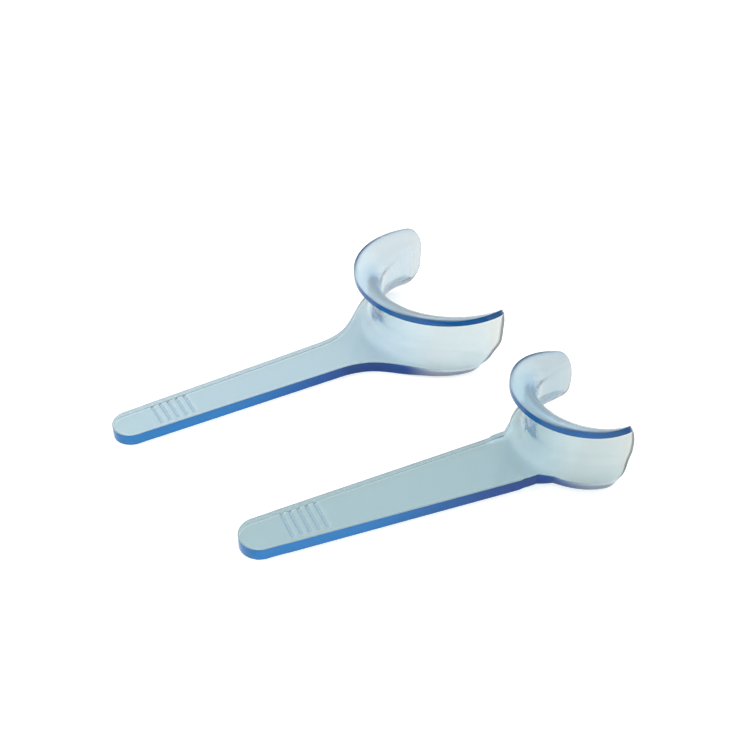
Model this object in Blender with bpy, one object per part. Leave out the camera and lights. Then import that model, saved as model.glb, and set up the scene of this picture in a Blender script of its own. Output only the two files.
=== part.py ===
"""A pair of hand-held cheek retractors, a large one and a small one.

Each is one clear blue moulding: a flat tapered handle that ends in a tall
C-shaped hook. The hook's section is a channel that is open toward the handle,
deep behind the handle and fading out along the two arms.

Frame: +X along the large handle toward its hook, +Z up, both pieces lying flat
on the plane z = 0. Metres throughout.
"""
import math

import bmesh
import bpy
import numpy as np

MM = 0.001

# ---- shared dimensions ------------------------------------------------------
EDGE_ROUND = 0.55 * MM          # rounding of every outer edge
GROOVES = 5                     # finger grooves across the top of each handle
GROOVE_DEPTH = 0.5 * MM
GROOVE_HALF = 0.75 * MM         # half the width of one groove
GROOVE_FADE = 0.9 * MM          # how a groove runs out at its ends
TIP_LENGTH = 5.0 * MM           # where the handle's width at the tip is taken
TIP_BLEND = 6.0 * MM            # over which the round end meets the taper
LEAST_BEND = 0.15 * MM          # smallest sideways run of a bend
PLATE_SHARE = 0.12              # share of the section that keeps the plate's thickness
WEB_SHARE = 0.5                 # share of the section at which the wall is web_wall

# ---- how finely it is divided -----------------------------------------------
COLS_HANDLE = 12                # faces across a handle
ROWS_TIP = 4                    # faces along the round end
ROWS_LEAD = 3                   # faces from there to the first groove
ROWS_SHAFT = 18                 # faces from the last groove to the hook
COLS_ARM = 26                   # faces along each arm of a hook
ROWS_HOOK = 22                  # faces from the foot of a hook to its rim
EDGE_SEGMENTS = 2
NECK_POINTS = 160
ARC_POINTS = 24
LINE_POINTS = 12
NEAR = 0.3 * MM                 # half the step over which a direction is measured
TIP_WIDE = math.radians(58.0)   # how far round the tip the first row reaches
HALF_CORNER = math.radians(45.0)
CORNER_SHARE = 0.75             # a corner's share of the faces, by its straight length
ARM_EVEN = 0.82                 # 1 spaces an arm's columns evenly

# ---- the large retractor ----------------------------------------------------
LARGE = dict(
    place=(-60.7 * MM, 29.2 * MM, 0.0),  # tip of the handle: x, y and heading (deg)
    plate=3.5 * MM,                     # handle thickness
    tip_half=5.22 * MM,                 # half width at the tip, before the taper
    taper=0.026,                        # half width gained per metre of handle
    neck_from=68.8 * MM,                # where the handle starts to flare
    join=76.0 * MM,                     # where the handle hands over to the hook
    centre=106.9 * MM,                  # axis of the hook along the handle
    height=22.6 * MM,                   # rim above the table
    flare_to=(51.0, 24.7 * MM),         # azimuth and radius where the flare ends
    flare_pull=0.67,                    # how far the flare keeps its first direction
    foot_end=25.2 * MM,                 # radius of the foot at an arm's end
    web=(18.2, 18.7, 24.7),             # mid-wall radius round the hook (mm)
    rim=(25.8, 25.8, 26.8),             # rim radius round the hook (mm)
    web_wall=2.7 * MM,
    rim_wall=1.8 * MM,
    bend_foot=6.5 * MM,                 # bend radius from the plate into the wall
    bend_rim=7.0 * MM,                  # bend radius from the wall into the lip
    foot_lift=0.3 * MM,                 # how far the foot rises on the arms
    rim_drop=0.6 * MM,                  # how far the rim falls toward the arms' ends
    arm=112.0,                          # azimuth of the end of an arm (deg)
    arm_from=60.0,                      # where the rounding of the end starts (deg)
    low_corner=(0.55, 0.38),            # the arm's round corners: share of its
    top_corner=(0.22, 0.34),            # length drawn in, share of its height
    groove_first=13.0 * MM,             # tip to the middle of the first groove
    groove_pitch=2.47 * MM,
    groove_reach=0.80,                  # a groove's share of the handle's width
)

# ---- the small retractor ----------------------------------------------------
SMALL = dict(
    place=(-48.0 * MM, -25.0 * MM, -6.4),
    plate=3.6 * MM,
    tip_half=5.49 * MM,
    taper=0.047,
    neck_from=82.3 * MM,
    join=77.0 * MM,
    centre=101.7 * MM,
    height=23.9 * MM,
    flare_to=(36.8, 19.8 * MM),
    flare_pull=0.02,
    foot_end=19.5 * MM,
    web=(15.1, 14.5, 16.4),
    rim=(22.7, 20.4, 17.2),
    web_wall=2.6 * MM,
    rim_wall=1.8 * MM,
    bend_foot=6.0 * MM,
    bend_rim=6.0 * MM,
    foot_lift=1.3 * MM,
    rim_drop=3.5 * MM,
    arm=109.2,
    arm_from=46.0,
    low_corner=(0.50, 0.44),
    top_corner=(0.25, 0.50),
    groove_first=13.0 * MM,
    groove_pitch=2.38 * MM,
    groove_reach=0.78,
)


def around(values, azimuth, end):
    """A radius from its values behind the handle, half way and at an arm's end."""
    at_handle, half_way, at_end = values
    t2 = (azimuth / end) ** 2
    rise, total = half_way - at_handle, at_end - at_handle
    quartic = (4.0 * total - 16.0 * rise) / 3.0
    return (at_handle + (total - quartic) * t2 + quartic * t2 * t2) * MM


def handle_half(d, s):
    """Half width of the straight handle at a distance s from its tip."""
    return d["tip_half"] + d["taper"] * s


def neck_curve(d):
    """The flare: handle edge to hook foot, as a Hermite curve of (s, n)."""
    s0 = d["neck_from"]
    p0 = np.array([s0, handle_half(d, s0)])
    az, r = math.radians(d["flare_to"][0]), d["flare_to"][1]
    p1 = np.array([d["centre"] - r * math.cos(az), r * math.sin(az)])
    reach = np.linalg.norm(p1 - p0)
    m0 = np.array([1.0, d["taper"]]) * reach * d["flare_pull"] * 2.0
    m1 = np.array([math.sin(az), math.cos(az)]) * reach * d["flare_pull"] * 2.0
    t = np.linspace(0.0, 1.0, NECK_POINTS)[:, None]
    h00 = 2 * t**3 - 3 * t**2 + 1
    h10 = t**3 - 2 * t**2 + t
    h01 = -2 * t**3 + 3 * t**2
    h11 = t**3 - t**2
    return h00 * p0 + h10 * m0 + h01 * p1 + h11 * m1


def outline_half(d, s):
    """Half width of the plate at s, flare included."""
    if s <= d["neck_from"]:
        return handle_half(d, s)
    curve = d["neck"]
    return float(np.interp(s, curve[:, 0], curve[:, 1]))


def foot_radius(d, azimuth):
    """Distance from the hook axis to the outline of the foot."""
    a = abs(azimuth)
    start, end = d["flare_to"][0], d["arm"]
    if a >= start:
        t = (a - start) / (end - start)
        return d["flare_to"][1] + (d["foot_end"] - d["flare_to"][1]) * t * t * (3.0 - 2.0 * t)
    curve = d["neck"]
    lead = np.array([[d["join"], outline_half(d, d["join"])]])
    keep = curve[curve[:, 0] > d["join"]]
    pts = np.vstack([lead, keep])
    dx = d["centre"] - pts[:, 0]
    az = np.degrees(np.arctan2(pts[:, 1], dx))
    return float(np.interp(a, az, np.hypot(pts[:, 1], dx)))


def section(d, azimuth, r_out):
    """Mid-line of the channel at one azimuth as (points, arc lengths)."""
    r_web = around(d["web"], azimuth, d["arm"])
    r_rim = around(d["rim"], azimuth, d["arm"])
    foot, rim = d["bend_foot"], d["bend_rim"]
    drop = max(r_out - r_web, LEAST_BEND)
    lift = max(r_rim - r_web, LEAST_BEND)
    low = math.pi / 2 if drop >= foot else math.acos(1.0 - drop / foot)
    top = math.pi / 2 if lift >= rim else math.acos(1.0 - lift / rim)
    out = min(1.0, abs(azimuth) / d["flare_to"][0])
    z0 = 0.5 * d["plate"] * math.sin(low) + d["foot_lift"] * out * out
    along_arm = (azimuth / d["arm"]) ** 2
    z1 = d["height"] - 0.5 * d["rim_wall"] * math.sin(top) - d["rim_drop"] * along_arm
    pts = []
    if drop > foot:
        for t in np.linspace(0.0, 1.0, LINE_POINTS, endpoint=False):
            pts.append((r_out + (r_web + foot - r_out) * t, z0))
    zc = z0 + foot * math.sin(low)
    for t in np.linspace(low, 0.0, ARC_POINTS):
        pts.append((r_web + foot * (1.0 - math.cos(t)), zc - foot * math.sin(t)))
    zt = z1 - rim * math.sin(top)
    for t in np.linspace(0.0, top, ARC_POINTS):
        pts.append((r_web + rim * (1.0 - math.cos(t)), zt + rim * math.sin(t)))
    if lift > rim:
        for t in np.linspace(0.0, 1.0, LINE_POINTS + 1)[1:]:
            pts.append((r_web + rim + (lift - rim) * t, z1))
    line = np.array(pts)
    step = np.linalg.norm(np.diff(line, axis=0), axis=1)
    return line, np.concatenate([[0.0], np.cumsum(step)])


def section_point(d, azimuth, r_out, v):
    """Mid point, normal and wall thickness at a share v of the section's length."""
    line, arc = section(d, azimuth, r_out)
    along = v * arc[-1]
    mid = np.array([np.interp(along, arc, line[:, k]) for k in (0, 1)])
    ahead = np.array([np.interp(along + NEAR, arc, line[:, k]) for k in (0, 1)])
    behind = np.array([np.interp(along - NEAR, arc, line[:, k]) for k in (0, 1)])
    tangent = (ahead - behind) / np.linalg.norm(ahead - behind)
    normal = np.array([tangent[1], -tangent[0]])
    wall = np.interp(v, (0.0, PLATE_SHARE, WEB_SHARE, 1.0),
                     (d["plate"], d["plate"], d["web_wall"], d["rim_wall"]))
    ease_from = 0.5 * d["arm_from"]
    if abs(azimuth) > ease_from:
        ease = min(1.0, (abs(azimuth) - ease_from) / ease_from)
        thin = d["web_wall"] + (d["rim_wall"] - d["web_wall"]) * v
        wall = wall + (thin - wall) * ease * ease * (3.0 - 2.0 * ease)
    return mid, normal, wall


def corner_edge(share, cut, tall):
    """A side of the arm's outline that ends half way round an elliptical corner.

    Returns how far along the side (0 to 1) and how far in from it.
    """
    straight = 1.0 - cut
    total = straight + CORNER_SHARE * cut
    if share * total <= straight:
        return share * total, 0.0
    turn = HALF_CORNER * (share * total - straight) / (total - straight)
    return straight + cut * math.sin(turn), tall * (1.0 - math.cos(turn))


def arm_end(share, low, top):
    """The arm's end, from the middle of its low corner to that of its top one."""
    (cut_low, tall_low), (cut_top, tall_top) = low, top
    flat = 1.0 - tall_low - tall_top
    run_low, run_top = CORNER_SHARE * tall_low, CORNER_SHARE * tall_top
    total = run_low + flat + run_top
    at = share * total
    if at < run_low:
        turn = HALF_CORNER * (1.0 + at / run_low)
        return 1.0 - cut_low * (1.0 - math.sin(turn)), tall_low * (1.0 - math.cos(turn))
    if at <= run_low + flat:
        return 1.0, tall_low + at - run_low
    turn = HALF_CORNER * (1.0 + (total - at) / run_top)
    return 1.0 - cut_top * (1.0 - math.sin(turn)), 1.0 - tall_top * (1.0 - math.cos(turn))


def arm_spot(d, p, v):
    """Where a grid point (p along the arm, v up the section) lies, corners rounded."""
    low, top = d["low_corner"], d["top_corner"]
    x_low, y_low = corner_edge(p, *low)
    x_top, y_top = corner_edge(p, *top)
    x_end, y_end = arm_end(v, low, top)
    x_a, y_a = arm_end(0.0, low, top)
    x_b, y_b = arm_end(1.0, low, top)
    x = (1.0 - v) * x_low + v * x_top + p * p * (x_end - (1.0 - v) * x_a - v * x_b)
    y = (1.0 - v) * y_low + v * (1.0 - y_top) + p * p * (y_end - (1.0 - v) * y_a - v * y_b)
    return x, min(1.0, max(0.0, y))


def groove_dip(d, s, n):
    """Depth of the finger grooves at a point of the handle's top face."""
    half = outline_half(d, s) * d["groove_reach"]
    fade = max(0.0, min(1.0, (half - abs(n)) / GROOVE_FADE))
    deep = 0.0
    for i in range(GROOVES):
        gap = abs(s - d["groove_first"] - i * d["groove_pitch"])
        if gap < GROOVE_HALF:
            deep = GROOVE_DEPTH * math.cos(0.5 * math.pi * gap / GROOVE_HALF)
    return deep * fade


def tip_rows(d, cols, rows):
    """The round end of the handle as a grid of (s, n) that has no pole."""
    r = handle_half(d, TIP_LENGTH)
    u = np.linspace(-1.0, 1.0, cols + 1)
    first = np.stack([r - r * np.cos(TIP_WIDE * u), r * np.sin(TIP_WIDE * u)], axis=1)
    last = np.stack([np.full(cols + 1, r), r * u], axis=1)
    grid = []
    for t in np.linspace(0.0, 1.0, rows + 1):
        row = first * (1.0 - t) + last * t
        th = TIP_WIDE + (math.pi / 2 - TIP_WIDE) * t
        side = np.array([r - r * math.cos(th), r * math.sin(th)])
        gap = side - row[-1]
        row = row + np.outer(np.abs(u), [gap[0], 0.0]) + np.outer(u, [0.0, gap[1]])
        grid.append(row)
    return grid, r


def handle_rows(d, cols):
    """Rows of (s, n) from the tip to the join, closer together at the grooves."""
    grid, r = tip_rows(d, cols, ROWS_TIP)
    first, pitch = d["groove_first"], d["groove_pitch"]
    marks = [r]
    for i in range(GROOVES):
        c = first + i * pitch
        marks += [c - GROOVE_HALF, c - 0.5 * GROOVE_HALF, c]
        marks += [c + 0.5 * GROOVE_HALF, c + GROOVE_HALF]
    marks += list(np.linspace(marks[-1], d["join"], ROWS_SHAFT + 1)[1:])
    lead = np.linspace(r, marks[1], ROWS_LEAD + 1)[1:-1]
    marks = marks[:1] + list(lead) + marks[1:]
    u = np.linspace(-1.0, 1.0, cols + 1)
    start = handle_half(d, TIP_LENGTH)
    for s in marks[1:]:
        grow = min(1.0, (s - r) / TIP_BLEND)
        half = start + (outline_half(d, s) - start) * grow
        grid.append(np.stack([np.full(cols + 1, s), half * u], axis=1))
    return grid


def arm_azimuths(d, cols_handle, cols_arm):
    """Azimuth (deg) of every column of the hook, from one arm to the other."""
    u = np.linspace(-1.0, 1.0, cols_handle + 1)
    n = u * outline_half(d, d["join"])
    mid = np.degrees(np.arctan2(n, d["centre"] - d["join"]))
    side = []
    for i in range(1, cols_arm + 1):
        t = i / cols_arm
        side.append(mid[-1] + (d["arm"] - mid[-1]) * (ARM_EVEN * t + (1.0 - ARM_EVEN) * t * t))
    side = np.array(side)
    return np.concatenate([-side[::-1], mid, side])


def build_sheet(d):
    """Upper and lower skins as two matching lists of points, and the quads."""
    up, down, quads = [], [], []
    d["neck"] = neck_curve(d)

    def add(a, b):
        up.append(a)
        down.append(b)
        return len(up) - 1

    rows = handle_rows(d, COLS_HANDLE)
    ids = []
    for row in rows:
        line = []
        for s, n in row:
            top = d["plate"] - groove_dip(d, s, n)
            line.append(add((s, n, top), (s, n, 0.0)))
        ids.append(line)
    for a, b in zip(ids, ids[1:]):
        for j in range(COLS_HANDLE):
            quads.append((a[j], b[j], b[j + 1], a[j + 1]))

    columns = []
    for k, az in enumerate(arm_azimuths(d, COLS_HANDLE, COLS_ARM)):
        inner = COLS_ARM <= k <= COLS_ARM + COLS_HANDLE
        column = []
        for i in range(ROWS_HOOK + 1):
            if inner and i == 0:
                column.append(ids[-1][k - COLS_ARM])
                continue
            a, v = az, i / ROWS_HOOK
            if abs(az) > d["arm_from"]:
                part = (abs(az) - d["arm_from"]) / (d["arm"] - d["arm_from"])
                part, v = arm_spot(d, part, v)
                a = math.copysign(d["arm_from"] + (d["arm"] - d["arm_from"]) * part, az)
            if inner:
                r_out = (d["centre"] - d["join"]) / math.cos(math.radians(az))
            else:
                r_out = foot_radius(d, a)
            mid, normal, wall = section_point(d, a, r_out, v)
            ca, sa = math.cos(math.radians(a)), math.sin(math.radians(a))
            pair = []
            for side in (0.5, -0.5):
                r, z = mid + normal * wall * side
                pair.append((d["centre"] - r * ca, r * sa, z))
            column.append(add(pair[0], pair[1]))
        columns.append(column)
    for a, b in zip(columns, columns[1:]):
        for i in range(ROWS_HOOK):
            quads.append((a[i], a[i + 1], b[i + 1], b[i]))
    return up, down, quads


def retractor(name, d, material):
    """One closed moulding: two skins, a wall around their border, round edges."""
    up, down, quads = build_sheet(d)
    mesh = bpy.data.meshes.new(name)
    bm = bmesh.new()
    top = [bm.verts.new(p) for p in up]
    low = [bm.verts.new(p) for p in down]
    uses = {}
    for q in quads:
        bm.faces.new([top[i] for i in q])
        bm.faces.new([low[i] for i in reversed(q)])
        for a, b in zip(q, q[1:] + q[:1]):
            uses.setdefault((min(a, b), max(a, b)), []).append((a, b))
    border = [pairs[0] for pairs in uses.values() if len(pairs) == 1]
    for a, b in border:
        bm.faces.new((top[b], top[a], low[a], low[b]))
    bmesh.ops.recalc_face_normals(bm, faces=bm.faces)
    sharp = [bm.edges.get((ring[a], ring[b])) for a, b in border for ring in (top, low)]
    bmesh.ops.bevel(bm, geom=sharp, offset=EDGE_ROUND, segments=EDGE_SEGMENTS, profile=0.5,
                    affect="EDGES", clamp_overlap=True)
    bm.to_mesh(mesh)
    bm.free()
    mesh.shade_smooth()
    mesh.materials.append(material)
    obj = bpy.data.objects.new(name, mesh)
    x, y, heading = d["place"]
    obj.location = (x, y, 0.0)
    obj.rotation_euler = (0.0, 0.0, math.radians(heading))
    bpy.context.scene.collection.objects.link(obj)
    return obj


def clear_blue(name, tint):
    """Tinted clear plastic."""
    mat = bpy.data.materials.new(name)
    mat.use_nodes = True
    node = mat.node_tree.nodes["Principled BSDF"]
    node.inputs["Base Color"].default_value = tint + (1.0,)
    node.inputs["Roughness"].default_value = 0.06
    node.inputs["Metallic"].default_value = 0.0
    node.inputs["Transmission Weight"].default_value = 0.7
    node.inputs["IOR"].default_value = 1.58
    return mat


for old in list(bpy.data.objects):
    bpy.data.objects.remove(old, do_unlink=True)

retractor("large_retractor", LARGE, clear_blue("large_clear_blue", (0.42, 0.66, 0.84)))
retractor("small_retractor", SMALL, clear_blue("small_clear_blue", (0.40, 0.64, 0.83)))
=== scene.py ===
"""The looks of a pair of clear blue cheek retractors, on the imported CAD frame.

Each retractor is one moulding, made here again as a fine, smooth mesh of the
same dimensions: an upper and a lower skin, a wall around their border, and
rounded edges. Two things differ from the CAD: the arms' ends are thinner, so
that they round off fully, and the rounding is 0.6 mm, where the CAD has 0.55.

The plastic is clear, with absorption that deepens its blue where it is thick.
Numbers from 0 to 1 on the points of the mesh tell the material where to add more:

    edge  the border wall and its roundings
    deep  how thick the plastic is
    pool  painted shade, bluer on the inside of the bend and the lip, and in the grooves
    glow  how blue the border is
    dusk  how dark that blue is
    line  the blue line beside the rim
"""

import math

import bmesh
import bpy
import numpy as np
from mathutils import Matrix, Vector


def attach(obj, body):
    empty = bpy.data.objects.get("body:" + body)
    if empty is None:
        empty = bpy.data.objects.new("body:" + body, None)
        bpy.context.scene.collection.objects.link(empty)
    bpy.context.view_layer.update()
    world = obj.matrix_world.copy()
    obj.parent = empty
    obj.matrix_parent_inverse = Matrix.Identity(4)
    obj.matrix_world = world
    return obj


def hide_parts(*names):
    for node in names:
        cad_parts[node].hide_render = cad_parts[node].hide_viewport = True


MM = 0.001

# ---- shared dimensions ------------------------------------------------------
EDGE_ROUND = 0.6 * MM           # rounding of every outer edge
GROOVES = 5                     # finger grooves across the top of each handle
GROOVE_DEPTH = 0.5 * MM
GROOVE_HALF = 0.75 * MM         # half the width of one groove
GROOVE_FADE = 0.9 * MM          # how a groove runs out at its ends
TIP_LENGTH = 5.0 * MM           # where the handle's width at the tip is taken
TIP_BLEND = 6.0 * MM            # over which the round end meets the taper
END_WALL = 1.25 * MM            # wall at the very end of an arm
END_THIN = (0.7, 1.0)           # share of the arm over which it thins to that
LEAST_BEND = 0.15 * MM          # smallest sideways run of a bend
PLATE_SHARE = 0.12              # share of the section that keeps the plate's thickness
WEB_SHARE = 0.5                 # share of the section at which the wall is web_wall
EASE_FROM = 0.5                 # share of arm_from where the foot starts to lose its thickness

# ---- how finely it is divided -----------------------------------------------
COLS_HANDLE = 24                # faces across a handle
ROWS_TIP = 8                    # faces along the round end
ROWS_LEAD = 8                   # faces from there to the first groove
ROWS_GROOVE = 8                 # faces across one groove
ROWS_SHAFT = 60                 # faces from the last groove to the hook
COLS_ARM = 64                   # faces along each arm of a hook
ROWS_HOOK = 56                  # faces from the foot of a hook to its rim
EDGE_SEGMENTS = 4
NECK_POINTS = 200
ARC_POINTS = 32
LINE_POINTS = 12
NEAR = 0.3 * MM                 # half the step over which a direction is measured
TIP_WIDE = math.radians(58.0)   # how far round the tip the first row reaches
HALF_CORNER = math.radians(45.0)
CORNER_SHARE = 0.75             # a corner's share of the faces, by its straight length

# ---- the two retractors -----------------------------------------------------
LARGE = dict(
    body="large",
    place=(-60.7 * MM, 29.2 * MM, 0.0),  # tip of the handle: x, y and heading (deg)
    plate=3.5 * MM,                     # handle thickness
    tip_half=5.22 * MM,                 # half width at the tip, before the taper
    taper=0.026,                        # half width gained per metre of handle
    neck_from=68.8 * MM,                # where the handle starts to flare
    join=76.0 * MM,                     # where the handle hands over to the hook
    centre=106.9 * MM,                  # axis of the hook along the handle
    height=22.6 * MM,                   # rim above the table
    flare_to=(51.0, 24.7 * MM),         # azimuth and radius where the flare ends
    flare_pull=0.67,                    # how far the flare keeps its first direction
    foot_end=25.2 * MM,                 # radius of the foot at an arm's end
    web=(18.2, 18.7, 24.7),             # mid-wall radius round the hook (mm)
    rim=(25.8, 25.8, 26.8),             # rim radius round the hook (mm)
    web_wall=2.7 * MM,
    rim_wall=1.8 * MM,
    bend_foot=6.5 * MM,                 # bend radius from the plate into the wall
    bend_rim=7.0 * MM,                  # bend radius from the wall into the lip
    foot_lift=0.3 * MM,                 # how far the foot rises on the arms
    rim_drop=0.6 * MM,                  # how far the rim falls toward the arms' ends
    arm=112.0,                          # azimuth of the end of an arm (deg)
    arm_from=60.0,                      # where the rounding of the end starts (deg)
    low_corner=(0.55, 0.38),            # the arm's round corners: share of its
    top_corner=(0.22, 0.34),            # length drawn in, share of its height
    groove_first=13.0 * MM,             # tip to the middle of the first groove
    groove_pitch=2.47 * MM,
    groove_reach=0.80,                  # a groove's share of the handle's width
    foot_blue=(36.0, 74.0),             # where the foot's blue edge fades (deg)
    thin=(0.61, 0.56, 0.46, 1.0),       # tint where the plastic is thin
    thick=(0.82, 0.86, 0.77, 1.0),      # tint where it is thick
)
SMALL = dict(
    body="small",
    place=(-48.0 * MM, -25.0 * MM, -6.4),
    plate=3.6 * MM,
    tip_half=5.49 * MM,
    taper=0.047,
    neck_from=82.3 * MM,
    join=77.0 * MM,
    centre=101.7 * MM,
    height=23.9 * MM,
    flare_to=(36.8, 19.8 * MM),
    flare_pull=0.02,
    foot_end=19.5 * MM,
    web=(15.1, 14.5, 16.4),
    rim=(22.7, 20.4, 17.2),
    web_wall=2.6 * MM,
    rim_wall=1.8 * MM,
    bend_foot=6.0 * MM,
    bend_rim=6.0 * MM,
    foot_lift=1.3 * MM,
    rim_drop=3.5 * MM,
    arm=109.2,
    arm_from=46.0,
    low_corner=(0.50, 0.44),
    top_corner=(0.25, 0.50),
    groove_first=13.0 * MM,
    groove_pitch=2.38 * MM,
    groove_reach=0.78,
    foot_blue=(32.0, 92.0),
    thin=(0.48, 0.455, 0.37, 1.0),
    thick=(0.66, 0.73, 0.63, 1.0),
)

# ---- where the material changes ---------------------------------------------
# Each pair is where a smooth change starts and ends: as a share of the section
# from foot (0) to rim (1), or in degrees of azimuth where the name says SIDES.
# The pool is painted shade: a deeper blue in the hollow of the bend, along the lip and in the
# grooves.
POOL_RISE = (0.05, 0.3)
POOL_FADE = (0.75, 0.95)
POOL_SIDES = (5.0, 80.0)
POOL_LOSS = 0.45                # what the pool of painted shade loses over its fade
LIP_RISE = (0.8, 1.0)
LINE_RISE = (0.955, 0.98)
LINE_SIDES = (10.0, 45.0)
LINE_END_SIDES = (55.0, 95.0)
DEEP_SIDES = (15.0, 80.0)       # near the handle the wall counts as thick all the way up
RIM_GLOW = (0.72, 0.95)
DUSK_FROM = 0.35                # share of the handle at which its edge starts to darken
DUSK_LOSS = 0.5                 # how much paler the border is at the rim
GROOVE_SHADE = 0.6               # how much of the pool's painted shade the grooves take, the inner side of the arms, and the lip near the rim
INNER_SHADE = 0.25               # the inner side of the arms,
RIM_TINT = 0.45                 # and the lip near the rim
LINE_TINT = 0.9                 # how much of the border's blue the line takes

# ---- material ---------------------------------------------------------------
CLEAR_SKIN = 0.78               # share of the light that goes through the skins, the pool of painted shade and the blue border
CLEAR_PAINTED_SHADE = 0.28               # the pool
CLEAR_EDGE = 0.25               # and the blue border
INDEX = 1.5                     # of refraction
SPECULAR = 0.25
ABSORB_BLUE = (0.10, 0.52, 0.80, 1.0)
ABSORB_DENSITY = 170.0
INSIDE_PALE = (0.95, 0.98, 1.0, 1.0)
# Painted shade: the pool's deeper blue in the hook's hollow and the grooves.
PAINTED_SHADE_BLUE = (0.16, 0.36, 0.56, 1.0)
EDGE_LIGHT = (0.01, 0.18, 0.46, 1.0)
EDGE_DARK = (0.0, 0.05, 0.24, 1.0)
EDGE_LINE = (0.0, 0.05, 0.14, 1.0)  # where the border turns to face up or down
HAZE_SCALE = 90.0               # haze of the polish, per metre
HAZE_DETAIL = 4.0
ROUGH_LEAST = 0.03
ROUGH_MOST = 0.14
FLOW_SCALE = 55.0               # waves of the moulded faces, per metre
FLOW_DETAIL = 2.0
FLOW_HEIGHT = 0.1 * MM
FLOW_STRENGTH = 0.2

# ---- studio -----------------------------------------------------------------
FLOOR_HALF = 3.0
FLOOR_TOP = -0.2 * MM           # just under the table plane, so nothing touches it
FLOOR_WHITE = (0.92, 0.92, 0.92, 1.0)
FLOOR_ROUGH = 0.9
FLOOR_GLOW = 0.35
WHITE = (1.0, 1.0, 1.0, 1.0)
SKY = 0.95
LAMP_SIZE = 1.2
LAMPS = (("above", (-0.3, 0.5, 0.9), 4.0), ("front", (-0.5, -0.8, 0.7), 1.5))

# ---- camera -----------------------------------------------------------------
AIM = Vector((18.07 * MM, 19.23 * MM, 0.0))
DISTANCE = 345.0 * MM
ELEVATION = 39.65
TURN = -32.43
ROLL = 2.57
LENS = 54.67
SENSOR = 36.0
CLIP = 0.01


def smooth(value, start, end):
    """0 before start, 1 after end, and a smooth rise between them."""
    t = min(1.0, max(0.0, (value - start) / (end - start)))
    return t * t * (3.0 - 2.0 * t)


def around(values, azimuth, end):
    """A radius from its values behind the handle, half way and at an arm's end."""
    at_handle, half_way, at_end = values
    t2 = (azimuth / end) ** 2
    rise, total = half_way - at_handle, at_end - at_handle
    quartic = (4.0 * total - 16.0 * rise) / 3.0
    return (at_handle + (total - quartic) * t2 + quartic * t2 * t2) * MM


def handle_half(d, s):
    """Half width of the straight handle at a distance s from its tip."""
    return d["tip_half"] + d["taper"] * s


def neck_curve(d):
    """The flare: handle edge to hook foot, as a Hermite curve of (s, n)."""
    s0 = d["neck_from"]
    p0 = np.array([s0, handle_half(d, s0)])
    az, r = math.radians(d["flare_to"][0]), d["flare_to"][1]
    p1 = np.array([d["centre"] - r * math.cos(az), r * math.sin(az)])
    pull = 2.0 * d["flare_pull"] * np.linalg.norm(p1 - p0)
    m0 = np.array([1.0, d["taper"]]) * pull
    m1 = np.array([math.sin(az), math.cos(az)]) * pull
    t = np.linspace(0.0, 1.0, NECK_POINTS)[:, None]
    h00 = 2 * t**3 - 3 * t**2 + 1
    h10 = t**3 - 2 * t**2 + t
    h01 = -2 * t**3 + 3 * t**2
    h11 = t**3 - t**2
    return h00 * p0 + h10 * m0 + h01 * p1 + h11 * m1


def outline_half(d, s):
    """Half width of the plate at s, flare included."""
    if s <= d["neck_from"]:
        return handle_half(d, s)
    curve = d["neck"]
    return float(np.interp(s, curve[:, 0], curve[:, 1]))


def foot_radius(d, azimuth):
    """Distance from the hook axis to the outline of the foot."""
    a = abs(azimuth)
    start, radius = d["flare_to"]
    if a >= start:
        return radius + (d["foot_end"] - radius) * smooth(a, start, d["arm"])
    curve = d["neck"]
    lead = np.array([[d["join"], outline_half(d, d["join"])]])
    pts = np.vstack([lead, curve[curve[:, 0] > d["join"]]])
    dx = d["centre"] - pts[:, 0]
    az = np.degrees(np.arctan2(pts[:, 1], dx))
    return float(np.interp(a, az, np.hypot(pts[:, 1], dx)))


def section(d, azimuth, r_out):
    """Mid-line of the channel at one azimuth as (points, arc lengths)."""
    r_web = around(d["web"], azimuth, d["arm"])
    r_rim = around(d["rim"], azimuth, d["arm"])
    foot, rim = d["bend_foot"], d["bend_rim"]
    drop = max(r_out - r_web, LEAST_BEND)
    lift = max(r_rim - r_web, LEAST_BEND)
    low = math.pi / 2 if drop >= foot else math.acos(1.0 - drop / foot)
    top = math.pi / 2 if lift >= rim else math.acos(1.0 - lift / rim)
    out = min(1.0, abs(azimuth) / d["flare_to"][0])
    z0 = 0.5 * d["plate"] * math.sin(low) + d["foot_lift"] * out * out
    along_arm = (azimuth / d["arm"]) ** 2
    z1 = d["height"] - 0.5 * d["rim_wall"] * math.sin(top) - d["rim_drop"] * along_arm
    pts = []
    if drop > foot:
        for t in np.linspace(0.0, 1.0, LINE_POINTS, endpoint=False):
            pts.append((r_out + (r_web + foot - r_out) * t, z0))
    zc = z0 + foot * math.sin(low)
    for t in np.linspace(low, 0.0, ARC_POINTS):
        pts.append((r_web + foot * (1.0 - math.cos(t)), zc - foot * math.sin(t)))
    zt = z1 - rim * math.sin(top)
    for t in np.linspace(0.0, top, ARC_POINTS):
        pts.append((r_web + rim * (1.0 - math.cos(t)), zt + rim * math.sin(t)))
    if lift > rim:
        for t in np.linspace(0.0, 1.0, LINE_POINTS + 1)[1:]:
            pts.append((r_web + rim + (lift - rim) * t, z1))
    line = np.array(pts)
    step = np.linalg.norm(np.diff(line, axis=0), axis=1)
    return line, np.concatenate([[0.0], np.cumsum(step)])


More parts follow.
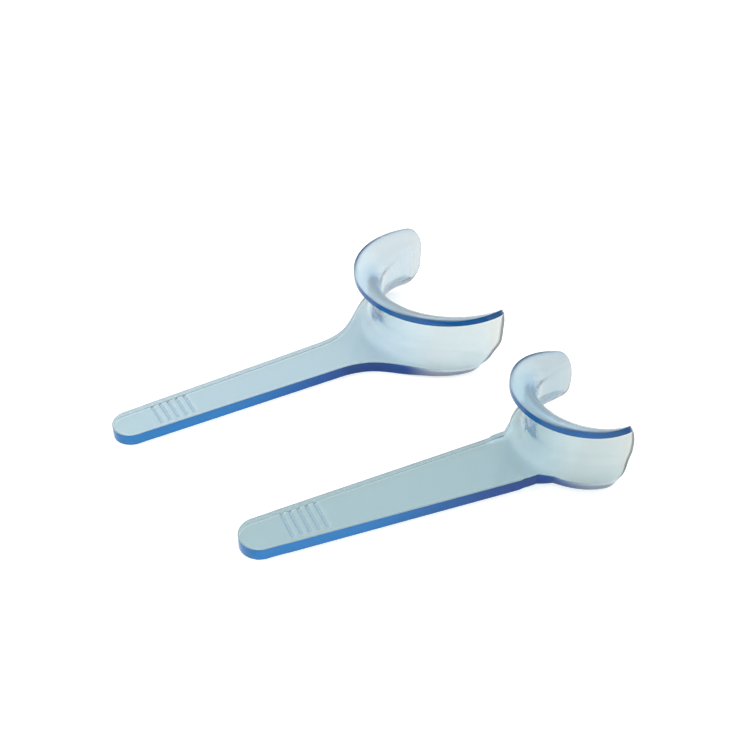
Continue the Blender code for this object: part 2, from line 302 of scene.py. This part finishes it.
def section_point(d, azimuth, r_out, v):
    """Mid point, normal and wall thickness at a share v of the section's length."""
    line, arc = section(d, azimuth, r_out)
    along = v * arc[-1]
    mid = np.array([np.interp(along, arc, line[:, k]) for k in (0, 1)])
    ahead = np.array([np.interp(along + NEAR, arc, line[:, k]) for k in (0, 1)])
    behind = np.array([np.interp(along - NEAR, arc, line[:, k]) for k in (0, 1)])
    tangent = (ahead - behind) / np.linalg.norm(ahead - behind)
    normal = np.array([tangent[1], -tangent[0]])
    wall = np.interp(v, (0.0, PLATE_SHARE, WEB_SHARE, 1.0),
                     (d["plate"], d["plate"], d["web_wall"], d["rim_wall"]))
    thin = d["web_wall"] + (d["rim_wall"] - d["web_wall"]) * v
    wall += (thin - wall) * smooth(abs(azimuth), EASE_FROM * d["arm_from"], d["arm_from"])
    return mid, normal, wall


def groove_dip(d, s, n):
    """Depth of the finger grooves at a point of the handle's top face."""
    half = outline_half(d, s) * d["groove_reach"]
    deep = 0.0
    for i in range(GROOVES):
        gap = abs(s - d["groove_first"] - i * d["groove_pitch"])
        if gap < GROOVE_HALF:
            deep = GROOVE_DEPTH * math.cos(0.5 * math.pi * gap / GROOVE_HALF) ** 2
    return deep * smooth(half - abs(n), 0.0, GROOVE_FADE)


def tip_rows(d, cols, rows):
    """The round end of the handle as a grid of (s, n) that has no pole."""
    r = handle_half(d, TIP_LENGTH)
    u = np.linspace(-1.0, 1.0, cols + 1)
    first = np.stack([r - r * np.cos(TIP_WIDE * u), r * np.sin(TIP_WIDE * u)], axis=1)
    last = np.stack([np.full(cols + 1, r), r * u], axis=1)
    grid = []
    for t in np.linspace(0.0, 1.0, rows + 1):
        row = first * (1.0 - t) + last * t
        th = TIP_WIDE + (math.pi / 2 - TIP_WIDE) * t
        side = np.array([r - r * math.cos(th), r * math.sin(th)])
        gap = side - row[-1]
        row = row + np.outer(np.abs(u), [gap[0], 0.0]) + np.outer(u, [0.0, gap[1]])
        grid.append(row)
    return grid, r


def handle_rows(d, cols):
    """Rows of (s, n) from the tip to the join, closer together at the grooves."""
    grid, r = tip_rows(d, cols, ROWS_TIP)
    first, last = d["groove_first"], d["groove_first"] + (GROOVES - 1) * d["groove_pitch"]
    marks = list(np.linspace(r, first - GROOVE_HALF, ROWS_LEAD + 1)[1:-1])
    for i in range(GROOVES):
        c = first + i * d["groove_pitch"]
        marks += list(np.linspace(c - GROOVE_HALF, c + GROOVE_HALF, ROWS_GROOVE + 1))
    marks += list(np.linspace(last + GROOVE_HALF, d["join"], ROWS_SHAFT + 1)[1:])
    u = np.linspace(-1.0, 1.0, cols + 1)
    start = handle_half(d, TIP_LENGTH)
    for s in marks:
        grow = min(1.0, (s - r) / TIP_BLEND)
        half = start + (outline_half(d, s) - start) * grow
        grid.append(np.stack([np.full(cols + 1, s), half * u], axis=1))
    return grid


def corner_edge(share, cut, tall):
    """A side of the arm's outline that ends half way round an elliptical corner.

    Returns how far along the side (0 to 1) and how far in from it.
    """
    straight = 1.0 - cut
    total = straight + CORNER_SHARE * cut
    if share * total <= straight:
        return share * total, 0.0
    turn = HALF_CORNER * (share * total - straight) / (total - straight)
    return straight + cut * math.sin(turn), tall * (1.0 - math.cos(turn))


def arm_end(share, low, top):
    """The arm's end, from the middle of its low corner to that of its top one."""
    (cut_low, tall_low), (cut_top, tall_top) = low, top
    flat = 1.0 - tall_low - tall_top
    run_low, run_top = CORNER_SHARE * tall_low, CORNER_SHARE * tall_top
    total = run_low + flat + run_top
    at = share * total
    if at < run_low:
        turn = HALF_CORNER * (1.0 + at / run_low)
        return 1.0 - cut_low * (1.0 - math.sin(turn)), tall_low * (1.0 - math.cos(turn))
    if at <= run_low + flat:
        return 1.0, tall_low + at - run_low
    turn = HALF_CORNER * (1.0 + (total - at) / run_top)
    return 1.0 - cut_top * (1.0 - math.sin(turn)), 1.0 - tall_top * (1.0 - math.cos(turn))


def arm_spot(d, p, v):
    """Where a grid point (p along the arm, v up the section) lies, corners rounded."""
    low, top = d["low_corner"], d["top_corner"]
    x_low, y_low = corner_edge(p, *low)
    x_top, y_top = corner_edge(p, *top)
    x_end, y_end = arm_end(v, low, top)
    x_a, y_a = arm_end(0.0, low, top)
    x_b, y_b = arm_end(1.0, low, top)
    x = (1.0 - v) * x_low + v * x_top + p * p * (x_end - (1.0 - v) * x_a - v * x_b)
    y = (1.0 - v) * y_low + v * (1.0 - y_top) + p * p * (y_end - (1.0 - v) * y_a - v * y_b)
    return x, min(1.0, max(0.0, y))


def arm_azimuths(d, cols_handle, cols_arm):
    """Azimuth (deg) of every column of the hook, from one arm to the other."""
    u = np.linspace(-1.0, 1.0, cols_handle + 1)
    n = u * outline_half(d, d["join"])
    mid = np.degrees(np.arctan2(n, d["centre"] - d["join"]))
    t = np.arange(1, cols_arm + 1) / cols_arm
    side = mid[-1] + (d["arm"] - mid[-1]) * t
    return np.concatenate([-side[::-1], mid, side])


def edge_glow(d, azimuth, v):
    """How blue the border looks: the rim all the way, the foot only near the handle."""
    foot = 1.0 - smooth(abs(azimuth), *d["foot_blue"])
    return max(foot, smooth(v, *RIM_GLOW))


def hook_shares(d, azimuth, v, wall):
    """The material's shares at one point of the hook."""
    a = abs(azimuth)
    thick = (wall - d["rim_wall"]) / (d["plate"] - d["rim_wall"])
    # Painted shade: the pool rises up the inside of the bend and fades toward the rim and the
    # arms; the lip and the inner side of the arms keep some of it.
    bend = smooth(v, *POOL_RISE) * (1.0 - POOL_LOSS * smooth(v, *POOL_FADE))
    bend *= 1.0 - smooth(a, *POOL_SIDES)
    lip = RIM_TINT * smooth(v, *LIP_RISE)
    line = smooth(v, *LINE_RISE) * smooth(a, *LINE_SIDES)
    line *= LINE_TINT * (1.0 - smooth(a, *LINE_END_SIDES))
    return dict(deep=max(thick, 1.0 - smooth(a, *DEEP_SIDES)),
                pool_down=max(bend, lip, INNER_SHADE), line_down=line,
                glow=edge_glow(d, azimuth, v), dusk=1.0 - DUSK_LOSS * v)


def hook_pair(d, azimuth, v, behind_handle):
    """A point of the hook's upper skin, its match below, and the shares there."""
    start, end = d["arm_from"], d["arm"]
    part = 0.0
    if abs(azimuth) > start:
        part, v = arm_spot(d, (abs(azimuth) - start) / (end - start), v)
        azimuth = math.copysign(start + (end - start) * part, azimuth)
    turn = math.radians(azimuth)
    if behind_handle:
        r_out = (d["centre"] - d["join"]) / math.cos(turn)
    else:
        r_out = foot_radius(d, azimuth)
    mid, normal, wall = section_point(d, azimuth, r_out, v)
    wall -= (wall - END_WALL) * smooth(part, *END_THIN)
    pair = []
    for side in (0.5, -0.5):
        r, z = mid + normal * wall * side
        pair.append((d["centre"] - r * math.cos(turn), r * math.sin(turn), z))
    return pair, hook_shares(d, azimuth, v, wall)


def build_sheet(d):
    """Two matching skins of points, the material's shares at them, and the quads.

    A share whose name ends in _up or _down is for that skin alone.
    """
    up, down, quads = [], [], []
    shares = {"deep": [], "pool_up": [], "pool_down": [], "glow": [], "dusk": [],
              "line_up": [], "line_down": []}
    d["neck"] = neck_curve(d)

    def add(a, b, **share):
        up.append(a)
        down.append(b)
        for key, values in shares.items():
            values.append(share.get(key, 0.0))
        return len(up) - 1

    ids = []
    for row in handle_rows(d, COLS_HANDLE):
        line = []
        for s, n in row:
            dip = groove_dip(d, s, n)
            dark = smooth(s, DUSK_FROM * d["join"], d["join"])
            # The grooves take painted shade, deepest at their bottoms.
            line.append(add((s, n, d["plate"] - dip), (s, n, 0.0), deep=1.0, glow=1.0,
                            pool_up=GROOVE_SHADE * dip / GROOVE_DEPTH, dusk=dark))
        ids.append(line)
    for a, b in zip(ids, ids[1:]):
        for j in range(COLS_HANDLE):
            quads.append((a[j], b[j], b[j + 1], a[j + 1]))

    columns = []
    for k, az in enumerate(arm_azimuths(d, COLS_HANDLE, COLS_ARM)):
        behind_handle = COLS_ARM <= k <= COLS_ARM + COLS_HANDLE
        column = [ids[-1][k - COLS_ARM]] if behind_handle else []
        for i in range(len(column), ROWS_HOOK + 1):
            (a, b), share = hook_pair(d, az, i / ROWS_HOOK, behind_handle)
            column.append(add(a, b, **share))
        columns.append(column)
    for a, b in zip(columns, columns[1:]):
        for i in range(ROWS_HOOK):
            quads.append((a[i], a[i + 1], b[i + 1], b[i]))
    return up, down, shares, quads


def share_layer(mesh, name, values):
    """A number from 0 to 1 on every point of the mesh, for the material to read."""
    layer = mesh.attributes.new(name, "FLOAT", "POINT")
    layer.data.foreach_set("value", values)


def mark_edges(mesh):
    """Turns the faces marked as border into a share on the points, and unmarks them."""
    total = np.zeros(len(mesh.vertices))
    border = np.zeros(len(mesh.vertices))
    for face in mesh.polygons:
        for v in face.vertices:
            total[v] += 1.0
            border[v] += face.material_index
        face.material_index = 0
    share_layer(mesh, "edge", border / np.maximum(total, 1.0))


def moulding(name, d):
    """The mesh of one moulding: its two skins, the wall around them, round edges."""
    up, down, shares, quads = build_sheet(d)
    mesh = bpy.data.meshes.new(name)
    bm = bmesh.new()
    names = ("deep", "pool", "glow", "dusk", "line")
    layers = {key: bm.verts.layers.float.new(key) for key in names}
    top = [bm.verts.new(p) for p in up]
    low = [bm.verts.new(p) for p in down]
    for ring, side in ((top, "_up"), (low, "_down")):
        for key, layer in layers.items():
            for vert, value in zip(ring, shares.get(key, shares.get(key + side))):
                vert[layer] = value
    uses = {}
    for q in quads:
        bm.faces.new([top[i] for i in q])
        bm.faces.new([low[i] for i in reversed(q)])
        for a, b in zip(q, q[1:] + q[:1]):
            uses.setdefault((min(a, b), max(a, b)), []).append((a, b))
    border = [pairs[0] for pairs in uses.values() if len(pairs) == 1]
    for a, b in border:
        bm.faces.new((top[b], top[a], low[a], low[b])).material_index = 1
    bmesh.ops.recalc_face_normals(bm, faces=bm.faces)
    sharp = [bm.edges.get((ring[a], ring[b])) for a, b in border for ring in (top, low)]
    bmesh.ops.bevel(bm, geom=sharp, offset=EDGE_ROUND, segments=EDGE_SEGMENTS,
                    profile=0.5, affect="EDGES", clamp_overlap=True, material=1)
    bm.to_mesh(mesh)
    bm.free()
    mark_edges(mesh)
    mesh.shade_smooth()
    return mesh


def retractor(node, d, material):
    """The fine moulding that stands for a CAD node."""
    mesh = moulding(node + "_fine", d)
    mesh.materials.append(material)
    obj = bpy.data.objects.new(node + "_fine", mesh)
    x, y, heading = d["place"]
    obj.location = (x, y, 0.0)
    obj.rotation_euler = (0.0, 0.0, math.radians(heading))
    bpy.context.scene.collection.objects.link(obj)
    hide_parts(node)
    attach(obj, d["body"])
    return obj


def mixed(nodes, links, share, low, high):
    """A colour or number that goes from low to high as share goes from 0 to 1."""
    mix = nodes.new("ShaderNodeMix")
    colour = any(isinstance(v, tuple) or getattr(v, "type", "") == "RGBA"
                 for v in (low, high))
    mix.data_type = "RGBA" if colour else "FLOAT"
    a, b = (mix.inputs[6], mix.inputs[7]) if colour else (mix.inputs[2], mix.inputs[3])
    for socket, value in ((a, low), (b, high)):
        if hasattr(value, "is_output"):
            links.new(value, socket)
        else:
            socket.default_value = value
    links.new(share, mix.inputs[0])
    return mix.outputs[2] if colour else mix.outputs[0]


def noise(nodes, links, where, scale, detail):
    """A noise of a given scale (per metre) over the object."""
    tex = nodes.new("ShaderNodeTexNoise")
    tex.inputs["Scale"].default_value = scale
    tex.inputs["Detail"].default_value = detail
    links.new(where, tex.inputs["Vector"])
    return tex.outputs["Fac"]


def border_blue(nodes, links, normal, dusk):
    """The border's blue: darker toward the hook, darkest where it faces up or down."""
    split = nodes.new("ShaderNodeSeparateXYZ")
    links.new(normal, split.inputs["Vector"])
    steep = nodes.new("ShaderNodeMath")
    steep.operation = "ABSOLUTE"
    links.new(split.outputs["Z"], steep.inputs[0])
    border = mixed(nodes, links, dusk, EDGE_LIGHT, EDGE_DARK)
    return mixed(nodes, links, steep.outputs[0], border, EDGE_LINE)


def polish(nodes, links, where, shader):
    """Uneven gloss and the slight waves of moulded plastic."""
    haze = noise(nodes, links, where, HAZE_SCALE, HAZE_DETAIL)
    rough = mixed(nodes, links, haze, ROUGH_LEAST, ROUGH_MOST)
    links.new(rough, shader.inputs["Roughness"])
    bump = nodes.new("ShaderNodeBump")
    bump.inputs["Strength"].default_value = FLOW_STRENGTH
    bump.inputs["Distance"].default_value = FLOW_HEIGHT
    waves = noise(nodes, links, where, FLOW_SCALE, FLOW_DETAIL)
    links.new(waves, bump.inputs["Height"])
    links.new(bump.outputs["Normal"], shader.inputs["Normal"])


def clear_blue(name, thin, thick):
    """Clear plastic: pale where thin, deeper where thick, strong blue at its edges, and
    painted shade in the hook's hollow and the grooves.
    """
    mat = bpy.data.materials.new(name)
    mat.use_nodes = True
    nodes, links = mat.node_tree.nodes, mat.node_tree.links
    shader = nodes["Principled BSDF"]
    shader.inputs["IOR"].default_value = INDEX
    shader.inputs["Specular IOR Level"].default_value = SPECULAR
    place = nodes.new("ShaderNodeTexCoord")
    shares = {}
    for key in ("edge", "deep", "pool", "glow", "dusk", "line"):
        node = nodes.new("ShaderNodeAttribute")
        node.attribute_name = key
        shares[key] = node.outputs["Fac"]
    blue = mixed(nodes, links, shares["edge"], shares["line"], shares["glow"])
    pale = mixed(nodes, links, shares["glow"], shares["edge"], 0.0)

    body = mixed(nodes, links, shares["deep"], thin, thick)
    # Painted shade: where the pool is, the colour turns a deeper blue and the plastic less
    # clear.
    body = mixed(nodes, links, shares["pool"], body, PAINTED_SHADE_BLUE)
    border = border_blue(nodes, links, place.outputs["Normal"], shares["dusk"])
    colour = mixed(nodes, links, blue, body, border)
    clear = mixed(nodes, links, shares["pool"], CLEAR_SKIN, CLEAR_PAINTED_SHADE)
    clear = mixed(nodes, links, blue, clear, CLEAR_EDGE)

    # Walls met from inside are clear, all but the edges of the arms that aren't blue.
    inside = nodes.new("ShaderNodeNewGeometry").outputs["Backfacing"]
    clear_inside = mixed(nodes, links, pale, 1.0, 0.0)
    colour = mixed(nodes, links, inside, colour, INSIDE_PALE)
    clear = mixed(nodes, links, inside, clear, clear_inside)
    links.new(colour, shader.inputs["Base Color"])
    links.new(clear, shader.inputs["Transmission Weight"])
    polish(nodes, links, place.outputs["Object"], shader)

    absorb = nodes.new("ShaderNodeVolumeAbsorption")
    absorb.inputs["Color"].default_value = ABSORB_BLUE
    absorb.inputs["Density"].default_value = ABSORB_DENSITY
    links.new(absorb.outputs["Volume"], nodes["Material Output"].inputs["Volume"])
    return mat


def pale_floor():
    """A wide, plain, nearly white floor."""
    mesh = bpy.data.meshes.new("floor")
    corners = [(FLOOR_HALF * x, FLOOR_HALF * y, FLOOR_TOP)
               for x, y in ((-1, -1), (1, -1), (1, 1), (-1, 1))]
    mesh.from_pydata(corners, [], [(0, 1, 2, 3)])
    obj = bpy.data.objects.new("floor", mesh)
    bpy.context.scene.collection.objects.link(obj)
    mat = bpy.data.materials.new("pale_floor")
    mat.use_nodes = True
    shader = mat.node_tree.nodes["Principled BSDF"]
    shader.inputs["Base Color"].default_value = FLOOR_WHITE
    shader.inputs["Roughness"].default_value = FLOOR_ROUGH
    shader.inputs["Emission Color"].default_value = WHITE
    shader.inputs["Emission Strength"].default_value = FLOOR_GLOW
    mesh.materials.append(mat)


def soft_light(name, place, energy):
    """A large square lamp that faces the middle of the pair."""
    lamp = bpy.data.lights.new(name, "AREA")
    lamp.shape = "SQUARE"
    lamp.size = LAMP_SIZE
    lamp.energy = energy
    obj = bpy.data.objects.new(name, lamp)
    obj.location = place
    obj.rotation_euler = (-Vector(place)).to_track_quat("-Z", "Y").to_euler()
    bpy.context.scene.collection.objects.link(obj)


def studio():
    """White surroundings and the soft lamps."""
    world = bpy.data.worlds.new("studio")
    world.use_nodes = True
    sky = world.node_tree.nodes["Background"]
    sky.inputs["Color"].default_value = WHITE
    sky.inputs["Strength"].default_value = SKY
    scene = bpy.context.scene
    scene.world = world
    scene.view_settings.view_transform = "Standard"
    for name, place, energy in LAMPS:
        soft_light(name, place, energy)


def camera():
    """The camera, aimed at the floor between the handles and the hooks."""
    tilt = math.radians(ELEVATION)
    turn = Matrix.Rotation(math.radians(TURN), 3, "Z")
    ahead = turn @ Vector((0.0, math.cos(tilt), -math.sin(tilt)))
    right = turn @ Vector((1.0, 0.0, 0.0))
    level = Matrix((right, right.cross(ahead), -ahead)).transposed()
    roll = Matrix.Rotation(math.radians(ROLL), 3, "Z")
    data = bpy.data.cameras.new("camera")
    data.lens = LENS
    data.sensor_width = SENSOR
    data.clip_start = CLIP
    obj = bpy.data.objects.new("camera", data)
    obj.matrix_world = (level @ roll).to_4x4()
    obj.location = AIM - ahead * DISTANCE
    bpy.context.scene.collection.objects.link(obj)
    bpy.context.scene.camera = obj


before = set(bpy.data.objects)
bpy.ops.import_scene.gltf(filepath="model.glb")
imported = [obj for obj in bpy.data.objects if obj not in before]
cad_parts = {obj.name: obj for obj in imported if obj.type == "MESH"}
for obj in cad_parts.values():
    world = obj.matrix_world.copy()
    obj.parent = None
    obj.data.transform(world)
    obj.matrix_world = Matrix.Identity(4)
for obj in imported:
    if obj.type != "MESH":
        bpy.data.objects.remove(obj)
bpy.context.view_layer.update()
camera()
studio()
pale_floor()
for node, design, slot in (("large_retractor", LARGE, "large_clear_blue"),
                           ("small_retractor", SMALL, "small_clear_blue")):
    piece = retractor(node, design, clear_blue(slot, design["thin"], design["thick"]))
